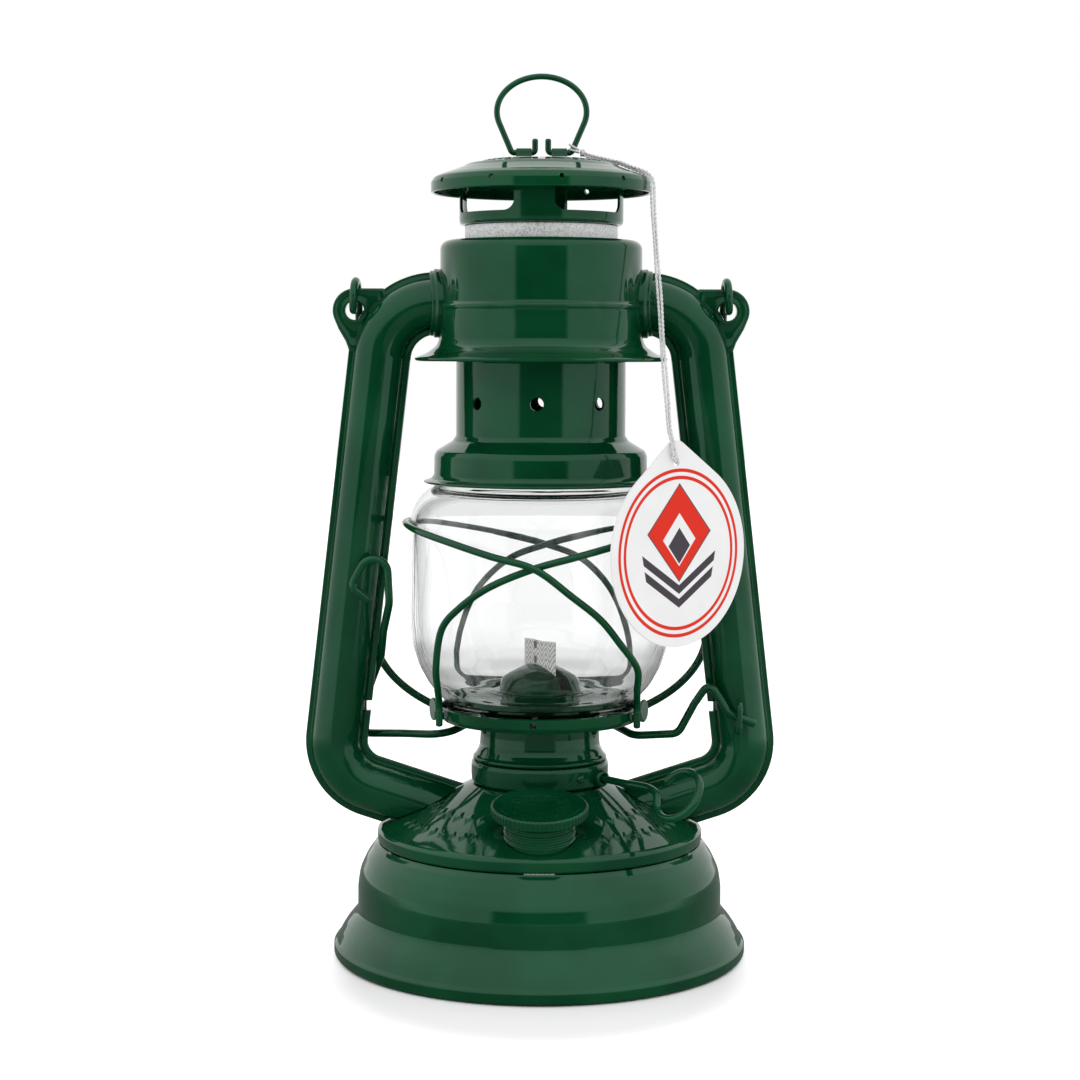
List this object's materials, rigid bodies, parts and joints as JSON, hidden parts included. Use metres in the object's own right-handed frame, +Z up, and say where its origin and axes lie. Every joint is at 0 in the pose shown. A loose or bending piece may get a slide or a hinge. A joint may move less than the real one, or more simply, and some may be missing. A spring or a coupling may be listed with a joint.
{
  "type": "oil lamp",
  "caption": "Side-tube oil lantern: round tank and wick burner, glass globe in a wire guard that lifts on a lever, vented hood, pull ring, wire bail and a card tag on a string.",
  "frame": {"origin": "middle of the base's foot ring, on the surface the lamp stands on", "axes": "+Z up, -Y towards the front with the filler cap, +X towards the lift lever's pivot"},
  "size_m": [0.1406, 0.1238, 0.2633],
  "materials": {
    "enamel": "dark green gloss enamel",
    "zinc": "dull galvanised",
    "steel": "bare wire and stampings",
    "brass": "dull",
    "glass": "clear",
    "cotton": "woven cotton",
    "seal": "matte",
    "card": "printed card",
    "string": "twisted thread"
  },
  "bodies": {
    "frame": {"tank_base": "enamel", "tank_bottom": "enamel", "tank_top": "enamel", "filler_neck": "enamel", "burner_socket": "enamel", "burner_neck": "enamel", "burner_deck": "enamel", "burner_dome": "enamel", "burner_rivet": "enamel", "spindle_bush": "enamel", "wick_tube": "brass", "drum": "enamel", "hood_spring": "steel", "lever_staple": "enamel", "left_tube_front": "enamel", "left_tube_back": "enamel", "left_ear_eyelet": "enamel", "left_arm_collar": "enamel", "right_tube_front": "enamel", "right_tube_back": "enamel", "right_ear_eyelet": "enamel", "right_arm_collar": "enamel"},
    "globe_carrier": {"globe_plate": "enamel", "glass_globe": "glass", "wire_guard": "enamel", "left_guard_clip": "enamel", "right_guard_clip": "enamel"},
    "hood_assembly": {"chimney": "enamel", "hood_collar": "zinc", "hood_cage": "enamel", "hood": "enamel", "left_lug": "enamel", "right_lug": "enamel", "tag_string": "string", "string_knot": "string", "tag": "card"},
    "pull_ring": {"pull_ring": "enamel"},
    "bail": {"bail": "enamel"},
    "wick_knob": {"wick_knob": "enamel", "wick_wheel_1": "steel", "wick_wheel_2": "steel"},
    "wick": {"wick": "cotton"},
    "lift_lever": {"lift_lever": "enamel"},
    "filler_seal": {"filler_seal": "seal"},
    "filler_cap": {"filler_cap": "enamel"}
  },
  "joints": [
    {"name": "lever_lift", "type": "hinge", "parent": "frame", "child": "lift_lever", "pos_m": [0.0593, -0.0092, 0.072], "axis": [0, 1, 0], "range_deg": [0, 4.8]},
    {"name": "globe_lift", "type": "slide", "parent": "frame", "child": "globe_carrier", "axis": [0, 0, 1], "range_m": [0, 0.00495]},
    {"name": "chimney_lift", "type": "slide", "parent": "globe_carrier", "child": "hood_assembly", "axis": [0, 0, 1], "range_m": [0, 0.012], "deforming": ["hood_spring"]},
    {"name": "ring_swing", "type": "hinge", "parent": "hood_assembly", "child": "pull_ring", "pos_m": [0, 0, 0.2399], "axis": [1, 0, 0], "range_deg": [-85, 85]},
    {"name": "bail_swing", "type": "hinge", "parent": "frame", "child": "bail", "pos_m": [0, 0, 0.1972], "axis": [1, 0, 0], "range_deg": [0, 248]},
    {"name": "knob_turn", "type": "hinge", "parent": "frame", "child": "wick_knob", "pos_m": [0.0046, 0.00386, 0.0543], "axis": [0.6428, -0.766, 0], "range_deg": [-120, 120]},
    {"name": "wick_slide", "type": "slide", "parent": "frame", "child": "wick", "axis": [0, 0, 1], "range_m": [-0.0104, 0.0104]},
    {"name": "cap_lift", "type": "slide", "parent": "frame", "child": "filler_seal", "axis": [0, -0.165, 0.9863], "range_m": [0, 0.0021]},
    {"name": "cap_turn", "type": "hinge", "parent": "filler_seal", "child": "filler_cap", "pos_m": [0, -0.0367, 0.0416], "axis": [0, -0.165, 0.9863], "range_deg": [0, 450]}
  ],
  "couplings": [
    {"joint": "lever_lift", "follows": "globe_lift", "rad_per_m": 16.863},
    {"joint": "wick_slide", "follows": "knob_turn", "m_per_rad": -0.0049},
    {"joint": "cap_lift", "follows": "cap_turn", "m_per_rad": 0.00025465}
  ]
}
